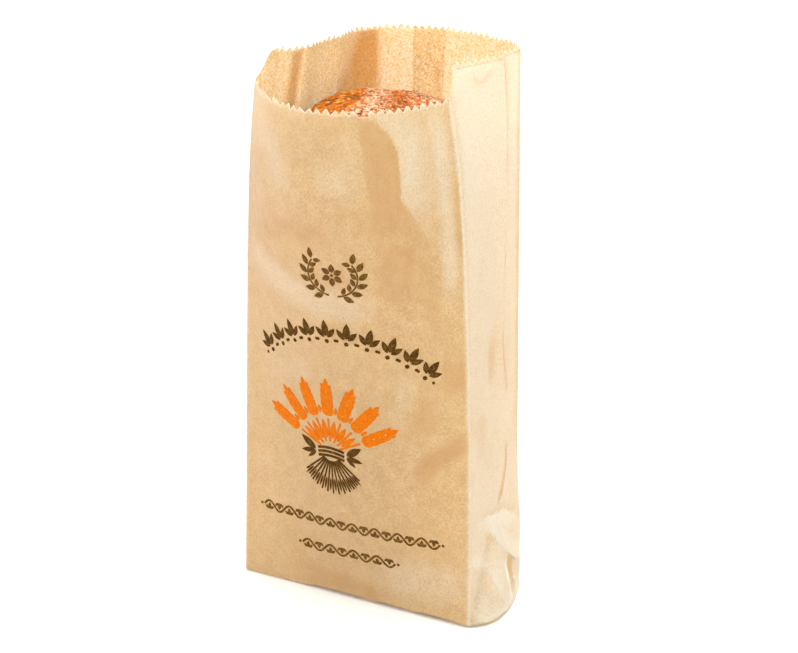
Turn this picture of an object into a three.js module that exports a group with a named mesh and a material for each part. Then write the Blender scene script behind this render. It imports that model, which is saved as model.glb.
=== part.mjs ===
// Kraft paper bread bag, standing open with a loaf inside it.
// Millimetres, +Z up. The bag rests on z = 0 and its front panel faces -Y.
import * as THREE from "three";

// The bag as it is cut and folded from one sheet.
const PANEL = 148; // width of the front panel and of the back panel
const GUSSET = 64; // width of each side gusset, so also the depth of the base
const FRONT_RIM = 307; // height of the front edge, which is cut lower than the rest
const LIP = 16; // how far the gussets and the back stand above the front edge
const LIP_RUN = 9; // the cut climbs to the lip over this much of each gusset
const WALL = 0.7; // solid wall that stands in for the thin paper
const TOOTH = 2.6; // depth of the zigzag cut edge
const TEETH = [34, 15, 34, 15]; // teeth on the front, right, back and left panels
const NICK = { panel: 0, at: 0.662, depth: 3 }; // a short tear in the front edge

// Corner folds in plan, front left first and then counter-clockwise seen from above.
// Each starts at a corner of the base and leans as it climbs; curl acts only near the mouth
// and heel, a step outward along X, only near the base.
const CORNERS = [
  { base: [-PANEL / 2, -GUSSET / 2], lean: [15.5, -6], power: 1, curl: [4.5, 0], heel: 0 },
  { base: [PANEL / 2, -GUSSET / 2], lean: [-12, 4], power: 2, curl: [-6, 0], heel: 0 },
  { base: [PANEL / 2, GUSSET / 2], lean: [-4.7, 1], power: 1.2, curl: [0, 0], heel: 2.6 },
  { base: [-PANEL / 2, GUSSET / 2], lean: [42, -19], power: 1.1, curl: [0, 0], heel: -1 },
];
const HEEL_TOP = 105;

// Outline of the mouth, one list per panel, as [share of the paper, share of the chord
// between its two corner folds, bow outward in mm]. The front and back bow out as curves,
// the gussets bend at their centre creases.
const MOUTH = [
  [[0, 0, 0], [0.17, 0.14, 22.5], [0.35, 0.32, 39.5], [0.5, 0.51, 45], [0.65, 0.7, 40.5],
    [0.83, 0.88, 22.5], [1, 1, 0]],
  [[0, 0, 0], [0.2, 0.2, -1], [0.58, 0.57, 4.6], [0.64, 0.62, 1], [0.8, 0.8, 1.2], [1, 1, 0]],
  [[0, 0, 0], [0.1, 0.075, 11], [0.28, 0.27, 24], [0.5, 0.53, 32], [0.73, 0.83, 29],
    [0.86, 0.95, 18], [1, 1, 0]],
  [[0, 0, 0], [0.3, 0.3, -2.8], [0.5, 0.5, -7], [0.7, 0.7, -4], [0.88, 0.88, -2.7], [1, 1, 0]],
];
const SMOOTH = [true, false, true, false];
const BOW_POWER = [1.1, 2, 0.6, 4]; // how each bow grows from the base to the mouth

// The base is not fully squared: the foot of each gusset swells out below a triangular fold.
const FOOT_SWELL = [0, 11.5, 0, 9];
const FOOT_FOLD = { apex: 0.42, height: 63 };

// Broad dents and bumps pressed into the panels: panel, share across, height, half sizes, depth.
const DENTS = [
  { panel: 1, at: 0.7, z: 20, across: 0.11, tall: 14, out: -4.5 }, // hollow under the fold
  { panel: 1, at: 0.94, z: 36, across: 0.16, tall: 30, out: 3 }, // back of the same gusset
  { panel: 1, at: 0.45, z: 104, across: 0.2, tall: 12, out: -3 },
  { panel: 1, at: 0.9, z: 118, across: 0.2, tall: 26, out: -1.6 },
  { panel: 1, at: 0.5, z: 158, across: 0.14, tall: 26, out: -2.2 },
  { panel: 0, at: 0.68, z: 270, across: 0.07, tall: 34, out: -3 }, // runs down from the tear
  { panel: 0, at: 0.9, z: 100, across: 0.09, tall: 14, out: -2.5 },
  { panel: 2, at: 0.4, z: 120, across: 0.2, tall: 40, out: -3 },
  { panel: 3, at: 0.5, z: 110, across: 0.25, tall: 40, out: -4 },
];

// The loaf stands on the floor of the bag.
const LOAF = { height: 296, floorGap: 0.4, around: 48, rows: 30 };

const clamp = (v, lo, hi) => Math.min(hi, Math.max(lo, v));
const mix = (a, b, t) => a + (b - a) * t;
const ease = (t) => t * t * (3 - 2 * t);

// Reads a list of [place, value, value] rows at a place, along straight or rounded runs.
function readProfile(rows, place, rounded) {
  let i = 0;
  while (i < rows.length - 2 && place > rows[i + 1][0]) i += 1;
  const [a, b] = [rows[i], rows[i + 1]];
  const before = rows[Math.max(0, i - 1)];
  const after = rows[Math.min(rows.length - 1, i + 2)];
  const span = b[0] - a[0];
  const t = clamp((place - a[0]) / span, 0, 1);
  return [1, 2].map((k) => {
    if (!rounded) return mix(a[k], b[k], t);
    const slopeA = i === 0 ? (b[k] - a[k]) / span : (b[k] - before[k]) / (b[0] - before[0]);
    const atEnd = i === rows.length - 2;
    const slopeB = atEnd ? (b[k] - a[k]) / span : (after[k] - a[k]) / (after[0] - a[0]);
    const t2 = t * t;
    const t3 = t2 * t;
    return (2 * t3 - 3 * t2 + 1) * a[k] + (t3 - 2 * t2 + t) * span * slopeA
      + (3 * t2 - 2 * t3) * b[k] + (t3 - t2) * span * slopeB;
  });
}

// Plan position of a corner fold at height z.
function cornerAt(index, z) {
  const { base, lean, power, curl, heel } = CORNERS[index % 4];
  const t = z / FRONT_RIM;
  const step = [heel * (1 - ease(clamp(z / HEEL_TOP, 0, 1))), 0];
  return [0, 1].map((k) => base[k] + step[k] + lean[k] * t ** power + curl[k] * t ** 8);
}

// How far the foot of a gusset swells out inside its triangular fold.
function footSwell(panel, u, z) {
  const up = z / FOOT_FOLD.height;
  if (!FOOT_SWELL[panel] || up >= 1) return 0;
  const left = FOOT_FOLD.apex * up;
  const right = mix(1, FOOT_FOLD.apex, up);
  const w = clamp((u - left) / (right - left), 0, 1);
  return FOOT_SWELL[panel] * (1 - up) * (4 * w * (1 - w)) ** 0.7 * (1.2 - 0.6 * w);
}

// Outer face of the paper: plan position at a share u across a panel and at height z.
function skin(panel, u, z) {
  const t = z / FRONT_RIM;
  const from = cornerAt(panel, z);
  const to = cornerAt(panel + 1, z);
  const [share, bow] = readProfile(MOUTH[panel], u, SMOOTH[panel]);
  const along = mix(u, share, Math.min(1, t * t));
  let out = bow * t ** BOW_POWER[panel] + footSwell(panel, u, z);
  for (const dent of DENTS) {
    if (dent.panel !== panel) continue;
    const gap = ((u - dent.at) / dent.across) ** 2 + ((z - dent.z) / dent.tall) ** 2;
    out += dent.out * Math.exp(-gap) * ease(clamp(z / 12, 0, 1)) * Math.sin(Math.PI * u) ** 0.3;
  }
  const [dx, dy] = [to[0] - from[0], to[1] - from[1]];
  const chord = Math.hypot(dx, dy);
  return [from[0] + dx * along + (dy / chord) * out, from[1] + dy * along - (dx / chord) * out];
}

// Height of the cut edge at its tooth tips. It climbs from the front edge to the lip
// just behind each front corner fold.
function rimHeight(panel, u) {
  if (panel === 0) return FRONT_RIM;
  if (panel === 2) return FRONT_RIM + LIP;
  const fromFold = (panel === 1 ? u : 1 - u) * GUSSET;
  return FRONT_RIM + LIP * ease(clamp(fromFold / LIP_RUN, 0, 1));
}

// Depth of the teeth: none where the cut climbs, and more at the tear.
function toothDepth(panel, u) {
  const gusset = panel === 1 || panel === 3;
  if (gusset && (panel === 1 ? u : 1 - u) * GUSSET < LIP_RUN) return 0.8;
  if (panel !== NICK.panel) return TOOTH;
  const near = Math.max(0, 1 - Math.abs(u - NICK.at) / 0.02);
  return TOOTH + NICK.depth * near;
}

// Columns run round the bag, one at the root of each tooth. The list gives panel and share.
const columns = TEETH.flatMap((count, panel) => (
  Array.from({ length: count }, (_, i) => ({ panel, u: i / count, step: 1 / count }))
));
// Row heights as shares of the height of a column, closer together near the base and mouth.
const ROWS = [0, 5, 11, 18, 27, 37, 48, 57, 66, 78, 94, 114, 138, 162, 186, 208, 228, 246, 262,
  276, 289, 299, 307].map((z) => z / FRONT_RIM);

// Loop of [x, y, z] points at one row, and the same loop moved inward by the wall.
function outerRow(share) {
  return columns.map(({ panel, u }) => {
    const z = share * (rimHeight(panel, u) - toothDepth(panel, u));
    return [...skin(panel, u, z), z];
  });
}
function inward(loop, distance, floor) {
  return loop.map((p, i) => {
    const a = loop[(i + loop.length - 1) % loop.length];
    const b = loop[(i + 1) % loop.length];
    const [ax, ay] = [p[0] - a[0], p[1] - a[1]];
    const [bx, by] = [b[0] - p[0], b[1] - p[1]];
    const [la, lb] = [Math.hypot(ax, ay), Math.hypot(bx, by)];
    const [nx, ny] = [-(ay / la + by / lb), ax / la + bx / lb];
    const n = Math.hypot(nx, ny);
    const reach = distance / Math.max(0.5, n / 2);
    return [p[0] + (nx / n) * reach, p[1] + (ny / n) * reach, Math.max(p[2], floor)];
  });
}

// Collects points and triangles of one closed body.
class Body {
  points = [];
  faces = [];
  add(loop) {
    const start = this.points.length;
    this.points.push(...loop);
    return loop.map((_, i) => start + i);
  }
  // A band between two loops of the same count, the second above the first.
  band(low, high, flip) {
    const n = low.length;
    for (let i = 0; i < n; i += 1) {
      const j = (i + 1) % n;
      this.tri([low[i], low[j], high[j]], flip);
      this.tri([low[i], high[j], high[i]], flip);
    }
  }
  tri(face, flip) {
    this.faces.push(flip ? [face[0], face[2], face[1]] : face);
  }
  // Closes a loop with a fan about a point.
  fan(loop, centre, flip) {
    const [c] = this.add([centre]);
    loop.forEach((a, i) => this.tri([a, loop[(i + 1) % loop.length], c], flip));
  }
  geometry() {
    const g = new THREE.BufferGeometry();
    g.setAttribute("position", new THREE.Float32BufferAttribute(this.points.flat(), 3));
    g.setIndex(this.faces.flat());
    g.computeVertexNormals();
    return g;
  }
}

// The shell: outer face, inner face, floor, and a zigzag edge that joins the two faces.
function buildBag() {
  const body = new Body();
  const outer = ROWS.map(outerRow);
  const inner = outer.map((loop) => inward(loop, WALL, WALL));
  const outerIds = outer.map((loop) => body.add(loop));
  const innerIds = inner.map((loop) => body.add(loop));
  for (let r = 0; r < ROWS.length - 1; r += 1) {
    body.band(outerIds[r], outerIds[r + 1], false);
    body.band(innerIds[r], innerIds[r + 1], true);
  }
  body.fan(outerIds[0], [0, 0, 0], true);
  body.fan(innerIds[0], [0, 0, WALL], false);

  // One tooth tip stands between each pair of columns.
  const tips = columns.map(({ panel, u, step }) => {
    const mid = u + step / 2;
    const z = rimHeight(panel, mid);
    return [...skin(panel, mid, z), z];
  });
  const top = ROWS.length - 1;
  const innerTips = tips.map((tip, i) => {
    const j = (i + 1) % columns.length;
    const shift = [0, 1].map((k) => (
      (inner[top][i][k] - outer[top][i][k] + inner[top][j][k] - outer[top][j][k]) / 2
    ));
    return [tip[0] + shift[0], tip[1] + shift[1], tip[2]];
  });
  const tipIds = body.add(tips);
  const innerTipIds = body.add(innerTips);
  columns.forEach((_, i) => {
    const j = (i + 1) % columns.length;
    const [a, b, tip] = [outerIds[top][i], outerIds[top][j], tipIds[i]];
    const [c, d, back] = [innerIds[top][i], innerIds[top][j], innerTipIds[i]];
    body.tri([a, b, tip], false);
    body.tri([c, d, back], true);
    body.tri([a, tip, back], false);
    body.tri([a, back, c], false);
    body.tri([tip, b, d], false);
    body.tri([tip, d, back], false);
  });
  return body;
}

// Half width, half depth and centre of the loaf at a share of its height.
function loafSection(share) {
  const crown = 1 - clamp((share - 0.92) / 0.08, 0, 1) ** 4;
  const heel = 1 - (1 - clamp(share / 0.1, 0, 1)) ** 2.2;
  const round = Math.sqrt(clamp(crown * heel, 0, 1));
  return {
    wide: mix(44, 43, share) * round + 4 * Math.sin(Math.PI * share) * round,
    deep: mix(26, 31, share) * round,
    x: mix(-2, 9, share),
    y: mix(0, -1, share),
  };
}

// The crust: slanting ridges between the cuts, and small lumps between them.
function crust(angle, share) {
  const slash = Math.sin(angle * 2 + share * 34) * 1.3;
  const lumps = Math.sin(angle * 5 + share * 17) * Math.sin(share * 47 + angle) * 0.7;
  return slash + lumps;
}

function buildLoaf() {
  const { height, floorGap, around, rows } = LOAF;
  const body = new Body();
  const bottom = WALL + floorGap;
  const ids = [];
  for (let r = 1; r < rows; r += 1) {
    // Rows gather toward both ends, where the section changes fastest.
    const share = (1 - Math.cos((Math.PI * r) / rows)) / 2;
    const { wide, deep, x, y } = loafSection(share);
    const loop = Array.from({ length: around }, (_, i) => {
      const angle = (2 * Math.PI * i) / around;
      const grow = crust(angle, share) * Math.min(1, wide / 30);
      const lump = 1.2 * Math.sin(angle * 3 + 1) * share ** 8;
      const z = mix(bottom, height, share) + lump * Math.min(1, wide / 30);
      const blunt = (v) => Math.sign(v) * Math.abs(v) ** 0.8;
      return [
        x + (wide + grow) * blunt(Math.cos(angle)),
        y + (deep + grow) * blunt(Math.sin(angle)),
        z,
      ];
    });
    ids.push(body.add(loop));
  }
  for (let r = 0; r < ids.length - 1; r += 1) body.band(ids[r], ids[r + 1], false);
  const low = loafSection(0);
  const high = loafSection(1);
  body.fan(ids[0], [low.x, low.y, bottom], true);
  body.fan(ids[ids.length - 1], [high.x, high.y, height], false);
  return body;
}

const group = new THREE.Group();
const bag = buildBag();
const loaf = buildLoaf();

// The middle of the bag's outline in plan becomes the origin.
const span = [0, 1].map((k) => bag.points.map((p) => p[k]));
const middle = span.map((list) => (Math.min(...list) + Math.max(...list)) / 2);
function place(name, body, color, roughness) {
  const geometry = body.geometry();
  geometry.translate(-middle[0], -middle[1], 0);
  const material = new THREE.MeshStandardMaterial({ color, roughness, metalness: 0 });
  const mesh = new THREE.Mesh(geometry, material);
  mesh.name = name;
  group.add(mesh);
}
place("bag", bag, 0xe9c594, 0.85);
place("loaf", loaf, 0xc9762c, 0.7);

export default group;
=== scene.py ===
import math
import bpy
import numpy as np
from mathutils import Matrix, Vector, noise
from mathutils.geometry import delaunay_2d_cdt


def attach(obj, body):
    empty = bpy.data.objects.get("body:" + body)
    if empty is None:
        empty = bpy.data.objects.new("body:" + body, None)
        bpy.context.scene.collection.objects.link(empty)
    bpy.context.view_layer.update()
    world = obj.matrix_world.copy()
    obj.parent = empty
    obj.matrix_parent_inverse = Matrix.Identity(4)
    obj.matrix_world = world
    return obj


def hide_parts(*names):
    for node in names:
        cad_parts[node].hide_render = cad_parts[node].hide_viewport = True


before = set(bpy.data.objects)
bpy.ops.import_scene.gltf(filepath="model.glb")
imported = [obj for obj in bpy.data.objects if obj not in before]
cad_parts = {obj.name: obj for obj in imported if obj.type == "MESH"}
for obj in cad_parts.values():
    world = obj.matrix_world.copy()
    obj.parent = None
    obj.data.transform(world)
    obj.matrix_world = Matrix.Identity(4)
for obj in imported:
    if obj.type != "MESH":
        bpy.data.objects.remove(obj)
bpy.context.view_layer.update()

# ----------------------------------------
# The shape of the folded sheet.
# The real bag is one sheet of thin kraft paper, folded round into a front, a back
# and two gussets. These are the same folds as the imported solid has, in millimetres,
# with the finer creases that the thin paper took when it was opened and filled.

FRONT, RIGHT, BACK, LEFT = range(4)
PANEL_WIDTHS = (148.0, 64.0, 148.0, 64.0)
FRONT_RIM = 307.0  # height of the front edge
LIP = 16.0  # the gussets and the back stand this much higher
LIP_RUN = 9.0  # the cut climbs to the lip over this much of each gusset
OUTLINE_MIDDLE = (1.3823, -11.6671)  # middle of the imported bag's outline, in plan

# Corner folds, front left first: base, lean, power of the lean, curl near the mouth, heel.
CORNER_FOLDS = (
    ((-74, -32), (15.5, -6), 1, 4.5, 0),
    ((74, -32), (-12, 4), 2, -6, 0),
    ((74, 32), (-4.7, 1), 1.2, 0, 2.6),
    ((-74, 32), (42, -19), 1.1, 0, -1),
)
HEEL_TOP = 105.0

# Outline of the mouth by panel: share of the paper, share of the chord, bow outward.
MOUTH = (
    ((0, 0, 0), (0.17, 0.14, 22.5), (0.35, 0.32, 39.5), (0.5, 0.51, 45), (0.65, 0.7, 40.5),
     (0.83, 0.88, 22.5), (1, 1, 0)),
    ((0, 0, 0), (0.3, 0.3, 1.2), (0.67, 0.675, 4.6), (0.70, 0.69, 1.6), (0.84, 0.84, 1.2),
     (1, 1, 0)),
    ((0, 0, 0), (0.1, 0.075, 11), (0.28, 0.27, 24), (0.5, 0.53, 32), (0.73, 0.83, 29),
     (0.86, 0.95, 18), (1, 1, 0)),
    ((0, 0, 0), (0.3, 0.3, -2.8), (0.5, 0.5, -7), (0.7, 0.7, -4), (0.88, 0.88, -2.7), (1, 1, 0)),
)
ROUNDED = (True, False, True, False)
BOW_POWER = (1.1, 2.0, 0.6, 4.0)
FOOT_SWELL = (0.0, 11.5, 0.0, 9.0)
FOOT_APEX = 0.42
FOOT_HEIGHT = 63.0

# Broad dents: panel, share across, height, half sizes, depth.
DENTS = (
    (RIGHT, 0.7, 20, 0.11, 14, -4.5),
    (RIGHT, 0.94, 36, 0.16, 30, 3),
    (RIGHT, 0.45, 104, 0.2, 12, -3),
    (RIGHT, 0.9, 118, 0.2, 26, -1.6),
    (RIGHT, 0.5, 158, 0.14, 26, -2.2),
    (FRONT, 0.65, 272, 0.07, 34, -2.6),
    (FRONT, 0.9, 100, 0.09, 14, -2.5),
    (BACK, 0.4, 120, 0.2, 40, -3),
    (LEFT, 0.5, 110, 0.25, 40, -4),
)

# Creases by panel: a line of (across, height) in mm, its rise in mm (below 0 is a valley), and
# how far the rise runs out to the left and to the right of the line, in mm. A long run is
# a flat facet of the paper, a short one is a pinch.
STEEP = 0.3
FACET_RUN = 5.5
CREASES = {FRONT: (
    ((97, 307), (105, 299), (110.5, 293), (114, 283), (114, 258), (121, 240), (129, 222), 1.9, 13, 22),
    ((70, 304), (60, 297), (52, 290), (38, 272), 0.5, 3, 3),
    ((90, 300), (92, 280), (92, 250), 0.5, 4, 8),
    ((0, 205), (8, 208), (20, 207), (30, 200), 0.5, 3, 3),
    ((148, 113), (138, 107), (126, 99), (113, 94), -1.2, 5, 3),
    ((137, 262), (139, 225), (141, 170), 0.7, 4, 3),
), RIGHT: (
    ((43, 322), (42, 298), (41.5, 274), (42, 244), 0.7, 2, STEEP),
    ((36, 268), (38, 256), (42, 243), 0.6, 2, STEEP),
    ((42, 243), (40.5, 215), (39.5, 200), (41, 170), 1.3, 3.2, STEEP),
    ((40, 166), (41, 150), (43, 139), (46, 124), 1.3, 3.4, STEEP),
    ((46, 90), (41, 78), (35, 63), 1.2, STEEP, 3.6),
    ((20, 315), (25, 309), (29, 311), (38, 316), -1.6, 2, 2),
    ((3, 303), (10, 305), (18, 307), 1.2, 1.6, 1.6),
    ((4, 302), (4.5, 285), (3.5, 262), 1, 1.4, 1.4),
    ((23, 60), (23.5, 52), (25, 43), (34, 33), (46, 27), (53, 18), (61, 8), 2.4, 3, 3),
    ((23, 60), (38, 58), (60, 50), 1.6, 3, 2),
    ((0, 58), (12, 60), (23, 60), 0.5, 2, 2),
    ((0, 37), (13, 31), (26, 26), (34, 22), 1.6, 3, 3),
    ((14, 17), (19, 12), (26, 5), 1.5, 2, 2),
    ((15, 31), (16, 19), -1.8, 2.2, 2.2),
    ((2, 13), (6, 8), (14, 5), (24, 4), 1, 1.6, 1.6),
), BACK: (
    ((40, 60), (75, 92), (118, 84), -0.7, 4, 4),
    ((20, 210), (58, 190), (60, 140), -0.6, 4, 4),
), LEFT: (
    ((42, 323), (42, 306), (41.5, 290), (40, 262), -1.5, 7, 7),
    ((35, 323), (35, 302), (35, 285), (36, 262), 1.5, 7, 7),
    ((58, 314), (55, 309), (51, 304), (45, 302), (42, 297), (41, 286), 0.9, 2.5, 2.5),
    ((10, 30), (32, 62), (56, 26), 0.8, 3, 3),
)}

# Painted light and shade: along a crease, the side that faces the light is painted paler. The side
# turned away, the hollows and the thin shadow beside a ridge are painted browner. They are listed as
# the creases are, with the amount of painted highlight (below 0 painted shade) in place of the rise.
FRONT_FOLD = ((97, 307), (105, 299), (110.5, 293.5), (114, 284), (114, 258), (124, 240))
PAINTED_LIGHT_AND_SHADE = {FRONT: (
    (*FRONT_FOLD, -0.4, 34, STEEP),
    (*FRONT_FOLD, 0.4, STEEP, 26),
    ((122, 293), (120, 276), (117, 262), 0.3, 2.5, 2.5),
    ((136, 306), (139, 292), (140, 236), (138, 192), 0.45, 7, 7),
    ((96, 22), (120, 24), (147, 26), 0.3, 16, 18),
    ((116, 233), (112, 215), (103, 196), -0.32, 16, 14),
    ((124, 212), (136, 190), -0.2, 14, 14),
    ((146, 266), (146, 240), (146, 222), -0.5, 4.5, 3),
    ((141, 165), (142, 145), -0.35, 9, 9),
    ((148, 117), (128, 103), (117, 86), -0.45, 9, 7),
    ((124, 144), (124, 117), -0.28, 8, 8),
    ((112, 152), (112, 132), 0.2, 8, 8),
    ((14, 228), (50, 234), (76, 236), -0.25, 12, 12),
    ((6, 210), (36, 201), (66, 194), (88, 194), (99, 205), 0.35, 14, 12),
    ((26, 288), (38, 273), (43, 253), 0.25, 14, 14),
    ((78, 272), (80, 258), 0.25, 12, 12),
    ((20, 143), (60, 149), 0.15, 12, 12),
    ((40, 11), (70, 9), (96, 4), -0.35, 9, 9),
    ((94, 300), (95, 274), (97, 250), 0.3, 16, STEEP),
), RIGHT: (
    ((33, 168), (31, 156), (28, 140), -0.34, 6, 6),
    ((8, 126), (17, 114), (21, 98), -0.3, 11, 11),
    ((48, 319), (47.6, 300), (47, 280), (45, 246), -1.5, STEEP, 1.6),
    ((45, 244), (42, 215), (40, 198), -1.1, STEEP, 1.6),
    ((42, 168), (44, 148), (49, 126), -1.5, STEEP, 1.6),
    ((48, 96), (42, 80), (35, 64), -1.3, STEEP, 1.5),
    ((60.5, 300), (60.5, 220), (61, 140), -0.5, 1.5, 1.5),
    ((20, 316), (24.5, 309), (29, 311), (38, 316), -0.5, 1, 1),
    ((18, 62.8), (41, 58.3), (59, 46.8), -0.4, STEEP, 1.6),
    ((18, 62), (41, 57.5), (59, 46), 0.6, 11, STEEP),
    ((25, 48), (36, 37), (48, 25.5), (61, 18), 0.9, STEEP, 11),
    ((18, 61), (24, 48), (35.5, 36), (47.5, 24.5), (60, 17), -0.35, 2.4, STEEP),
    ((49, 25), (49, 12), (46, 8), -0.8, 6, STEEP),
    ((1, 40), (10, 35), (17, 33), 0.45, STEEP, 9),
    ((16, 31), (19, 23), (24, 13), 0.55, STEEP, 4.5),
    ((30, 26), (33, 14), (37, 8), 0.5, STEEP, 4),
    ((14, 29), (15, 18), -0.3, 4, STEEP),
    ((2, 11), (8, 4.5), (22, 4), (40, 5), 0.5, 1.4, 1.4),
), BACK: (
    ((115, 327), (113, 303), (112, 284), (112, 250), -0.75, 2, 20),
    ((146, 250), (138, 284), (126, 298), (120, 318), -0.6, 14, 16),
), LEFT: (
    ((38.5, 325), (38.5, 305), (39, 284), (39, 262), -0.6, 5.6, 5.6),
    ((0, 268), (20, 272), (44, 270), -0.4, 16, 22),
)}

WAVE_HEIGHT, WAVE_LENGTH = 0.7, 34.0  # gentle waves all over the paper, in mm

# Crumpling: height in mm and size of the flat cells, by panel, and more of it at the foot.
CRUMPLE_HEIGHT = (0.45, 0.8, 0.6, 0.8)
CRUMPLE_CELL = 24.0
FOOT_CRUMPLE_HEIGHT = (0.0, 3.4, 0.6, 2.4)
FOOT_CRUMPLE_CELL = 12.0
FOOT_CRUMPLE_TOP = 78.0


def ease(t):
    t = np.clip(t, 0, 1)
    return t * t * (3 - 2 * t)


def bumps(places, size):
    """Smooth lumps of about this size, in mm."""
    return np.array([noise.noise(Vector(p) / size) for p in places])


def cells(places, size):
    """Flat cells of about this size, in mm, with creases between them."""
    return np.array([noise.voronoi(Vector(p) / size)[0][0] - 0.5 for p in places])


def read_outline(rows, place, rounded):
    """Share of the chord and bow at each share of the paper."""
    rows = np.array(rows, float)
    last = len(rows) - 2
    i = np.clip(np.searchsorted(rows[:, 0], place) - 1, 0, last)
    a, b = rows[i], rows[i + 1]
    span = b[:, :1] - a[:, :1]
    t = np.clip((place[:, None] - a[:, :1]) / span, 0, 1)
    if not rounded:
        return (a + (b - a) * t)[:, 1:]
    before = rows[np.maximum(0, i - 1)]
    after = rows[np.minimum(last + 1, i + 2)]
    first, final = (i == 0)[:, None], (i == last)[:, None]
    slope_a = np.where(first, (b - a) / span, (b - before) / (b[:, :1] - before[:, :1]))
    slope_b = np.where(final, (b - a) / span, (after - a) / (after[:, :1] - a[:, :1]))
    t2, t3 = t * t, t ** 3
    return ((2 * t3 - 3 * t2 + 1) * a + (t3 - 2 * t2 + t) * span * slope_a
            + (3 * t2 - 2 * t3) * b + (t3 - t2) * span * slope_b)[:, 1:]


def fold_at(corner, z):
    base, lean, power, curl, heel = CORNER_FOLDS[corner % 4]
    t = z / FRONT_RIM
    step = heel * (1 - ease(z / HEEL_TOP))
    x = base[0] + step + lean[0] * t ** power + curl * t ** 8
    return x, base[1] + lean[1] * t ** power


def foot_swell(panel, u, z):
    """The foot of each gusset swells out inside a triangular fold."""
    up = z / FOOT_HEIGHT
    left, right = FOOT_APEX * up, 1 + (FOOT_APEX - 1) * up
    w = np.clip((u - left) / np.where(up < 1, right - left, 1), 0, 1)
    swell = np.maximum(0, 1 - up) * (4 * w * (1 - w)) ** 0.7 * (1.2 - 0.6 * w)
    return np.where(up < 1, FOOT_SWELL[panel] * swell, 0)


def spread(rows, panel, s, z, edge=1.0):
    """Sum at each place of a panel of amounts that fade out to both sides of lines."""
    total = np.zeros(len(s))
    for *line, rise, left_run, right_run in rows[panel]:
        line = np.array(line, float)
        run = np.concatenate([[0], np.cumsum(np.hypot(*np.diff(line, axis=0).T))])
        nearest = np.full(len(s), 1e9)
        reach = np.zeros(len(s))
        on_right = np.zeros(len(s), bool)
        for k in range(len(line) - 1):
            dx, dz = line[k + 1] - line[k]
            long = math.hypot(dx, dz)
            t = ((s - line[k, 0]) * dx + (z - line[k, 1]) * dz) / long ** 2
            t = np.clip(t, 0, 1)
            gap = np.hypot(s - line[k, 0] - t * dx, z - line[k, 1] - t * dz)
            reach = np.where(gap < nearest, (run[k] + t * long) / run[-1], reach)
            turn = dx * (z - line[k, 1]) - dz * (s - line[k, 0])
            rising = dz > 0 if dz else dx > 0
            on_right = np.where(gap < nearest, turn < 0 if rising else turn > 0, on_right)
            nearest = np.minimum(gap, nearest)
        ends = np.clip(4 * np.minimum(reach + 0.1, 1.05 - reach), 0, 1)
        away = nearest / np.where(on_right, right_run, left_run)
        flat = np.where(on_right, right_run, left_run) > FACET_RUN
        total += rise * ends * np.where(flat, np.clip((1 - away) * edge, 0, 1), np.exp(-away))
    return total


def folded(panel, u, z):
    """Places of the paper before its creases, in mm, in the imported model's frame."""
    t = z / FRONT_RIM
    (ax, ay), (bx, by) = fold_at(panel, z), fold_at(panel + 1, z)
    share, bow = read_outline(MOUTH[panel], u, ROUNDED[panel]).T
    along = u + (share - u) * np.minimum(1, t * t)
    out = bow * t ** BOW_POWER[panel]
    if FOOT_SWELL[panel]:
        out = out + foot_swell(panel, u, z)
    for on, at, height, across, tall, depth in DENTS:
        if on == panel:
            near = np.exp(-((u - at) / across) ** 2 - ((z - height) / tall) ** 2)
            out = out + depth * near * ease(z / 12) * np.sin(np.pi * np.clip(u, 0, 1)) ** 0.3
    dx, dy = bx - ax, by - ay
    chord = np.hypot(dx, dy)
    x = ax + dx * along + dy / chord * out - OUTLINE_MIDDLE[0]
    y = ay + dy * along - dx / chord * out - OUTLINE_MIDDLE[1]
    return np.stack([x, y, z], -1)


def outward(panel, u, z):
    """Outward direction of the paper at each place."""
    du = np.where(u < 0.5, 0.01, -0.01)
    across = (folded(panel, u + du, z) - folded(panel, u, z)) * np.sign(du)[:, None]
    up = folded(panel, u, z + 1.0) - folded(panel, u, np.maximum(z, 0))
    n = np.cross(across, up)
    return n / np.linalg.norm(n, axis=1)[:, None]


def paper(panel, u, z, lift=0.0):
    """Places of the creased paper's outer face, raised by lift, in mm."""
    u, z = np.asarray(u, float), np.asarray(z, float)
    place = folded(panel, u, z)
    s = u * PANEL_WIDTHS[panel]
    rise = spread(CREASES, panel, s, z)
    wave = WAVE_HEIGHT * (bumps(place, WAVE_LENGTH) + 0.4 * bumps(place, WAVE_LENGTH * 0.37))
    wave += CRUMPLE_HEIGHT[panel] * cells(place, CRUMPLE_CELL)
    at_foot = ease(1.6 - 1.6 * z / FOOT_CRUMPLE_TOP)
    wave += FOOT_CRUMPLE_HEIGHT[panel] * cells(place, FOOT_CRUMPLE_CELL) * at_foot
    calm = ease(np.minimum(s, PANEL_WIDTHS[panel] - s) / 7) * ease(z / 9)
    total = rise * ease(z / 5) + wave * calm + lift
    return place + outward(panel, u, z) * total[:, None]


# ----------------------------------------
# The edge of the mouth.
# The maker's knife is a saw, so the cut edge has a tooth every 4.3 to 4.8 mm. The teeth
# are pointed and a little uneven, and one short tear runs down from the front edge.

TEETH = (31, 15, 34, 15)  # by panel
TOOTH_DEPTH = 3.1
CLIMB_DEPTH = 0.8  # the teeth are this shallow where the cut climbs to the lip
TOOTH_POWER = 1.25  # 1 gives straight flanks, 2 round ones
TEAR_AT, TEAR_HALF = 0.662, 0.021  # shares of the front panel
TEAR_DEPTH = 3.0
rng = np.random.default_rng(11)
TOOTH_SIZE = [rng.uniform(0.72, 1.12, n) for n in TEETH]
TOOTH_LEAN = [rng.uniform(-0.13, 0.13, n) for n in TEETH]
TOOTH_BEND = [rng.uniform(-0.9, 0.9, n) for n in TEETH]


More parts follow.
